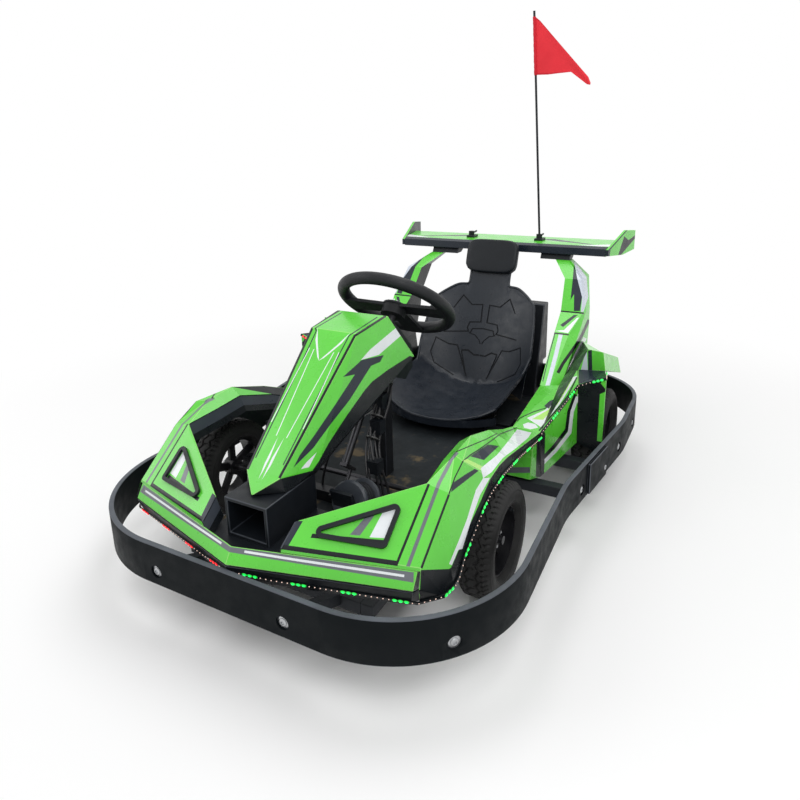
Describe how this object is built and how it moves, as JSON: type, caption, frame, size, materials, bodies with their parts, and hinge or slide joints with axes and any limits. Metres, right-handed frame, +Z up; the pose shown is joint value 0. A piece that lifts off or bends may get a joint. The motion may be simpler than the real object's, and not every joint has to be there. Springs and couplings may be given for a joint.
{
  "type": "bumper kart",
  "caption": "Electric amusement kart with an all-round bumper ring, bucket seat, steered front wheels, nose cowl, side pods, rear wing and whip flag.",
  "frame": {"origin": "on the ground under the middle of the bounding box", "axes": "+Z up, -Y towards the nose, +X towards the driver's left"},
  "size_m": [1.156, 1.79, 1.4552],
  "materials": {
    "bumper": "satin black moulded bumper with a worn top edge",
    "frame_grey": "grey paint on steel tube",
    "floor_black": "dark floor sheet",
    "body_green": "bright green gloss shell with printed bands",
    "trim_black": "black moulded plastic",
    "seat_black": "blue-black grained plastic",
    "tyre": "black tyre",
    "rim_black": "black rim",
    "steel": "bare steel",
    "motor_black": "black motor housing",
    "wheel_grip": "soft black grip",
    "flag_red": "red cloth"
  },
  "bodies": {
    "kart": {"air_duct": "trim_black", "bumper_front": "bumper", "bumper_plates": "bumper", "bumper_rear": "bumper", "bumper_stays": "frame_grey", "column_post": "motor_black", "cross_tubes": "frame_grey", "dash_cover": "trim_black", "drive_motors": "motor_black", "flag": "flag_red", "flag_clamps": "trim_black", "flag_pole": "trim_black", "floor_pan": "floor_black", "frame_rails": "frame_grey", "front_beam": "motor_black", "front_fenders": "body_green", "nose_deck": "trim_black", "nose_lip": "body_green", "nose_posts": "motor_black", "nose_skirt": "trim_black", "outriggers": "frame_grey", "pedals": "trim_black", "rear_box": "trim_black", "rear_fenders": "body_green", "recess_frames": "trim_black", "seat_brackets": "motor_black", "seat_shell": "seat_black", "side_pods": "body_green", "steering_cowl": "body_green", "towers": "body_green", "wing_blade": "body_green", "wing_brackets": "trim_black", "wing_end_plates": "body_green"},
    "steering": {"steering_wheel": "wheel_grip", "steering_column": "steel"},
    "track_rod": {"track_rod": "steel"},
    "knuckle_left": {"knuckle_left": "steel"},
    "knuckle_right": {"knuckle_right": "steel"},
    "front_wheel_left": {"front_tyre_left": "tyre", "front_rim_left": "rim_black"},
    "front_wheel_right": {"front_tyre_right": "tyre", "front_rim_right": "rim_black"},
    "rear_wheel_left": {"rear_tyre_left": "tyre", "rear_rim_left": "rim_black", "rear_shaft_left": "steel"},
    "rear_wheel_right": {"rear_tyre_right": "tyre", "rear_rim_right": "rim_black", "rear_shaft_right": "steel"}
  },
  "joints": [
    {"name": "steering_turn", "type": "hinge", "parent": "kart", "child": "steering", "pos_m": [0, -0.156, 0.5885], "axis": [0, 0.6293, 0.7771], "range_deg": [-50, 50]},
    {"name": "kingpin_turn_left", "type": "hinge", "parent": "kart", "child": "knuckle_left", "pos_m": [0.322, -0.44, 0.136], "axis": [0, 0, 1], "range_deg": [-25, 25]},
    {"name": "kingpin_turn_right", "type": "hinge", "parent": "kart", "child": "knuckle_right", "pos_m": [-0.322, -0.44, 0.136], "axis": [0, 0, 1], "range_deg": [-25, 25]},
    {"name": "track_rod_pivot", "type": "hinge", "parent": "knuckle_left", "child": "track_rod", "pos_m": [0.322, -0.38, 0.163], "axis": [0, 0, 1], "range_deg": [-25, 25]},
    {"name": "front_wheel_spin_left", "type": "hinge", "parent": "knuckle_left", "child": "front_wheel_left", "pos_m": [0.398, -0.44, 0.136], "axis": [1, 0, 0], "continuous": true},
    {"name": "front_wheel_spin_right", "type": "hinge", "parent": "knuckle_right", "child": "front_wheel_right", "pos_m": [-0.398, -0.44, 0.136], "axis": [1, 0, 0], "continuous": true},
    {"name": "rear_wheel_spin_left", "type": "hinge", "parent": "kart", "child": "rear_wheel_left", "pos_m": [0.48, 0.248, 0.136], "axis": [1, 0, 0], "continuous": true},
    {"name": "rear_wheel_spin_right", "type": "hinge", "parent": "kart", "child": "rear_wheel_right", "pos_m": [-0.48, 0.248, 0.136], "axis": [1, 0, 0], "continuous": true}
  ],
  "couplings": [
    {"joint": "kingpin_turn_left", "follows": "steering_turn", "ratio": 0.5},
    {"joint": "kingpin_turn_right", "follows": "steering_turn", "ratio": 0.5},
    {"joint": "track_rod_pivot", "follows": "steering_turn", "ratio": -0.5}
  ]
}
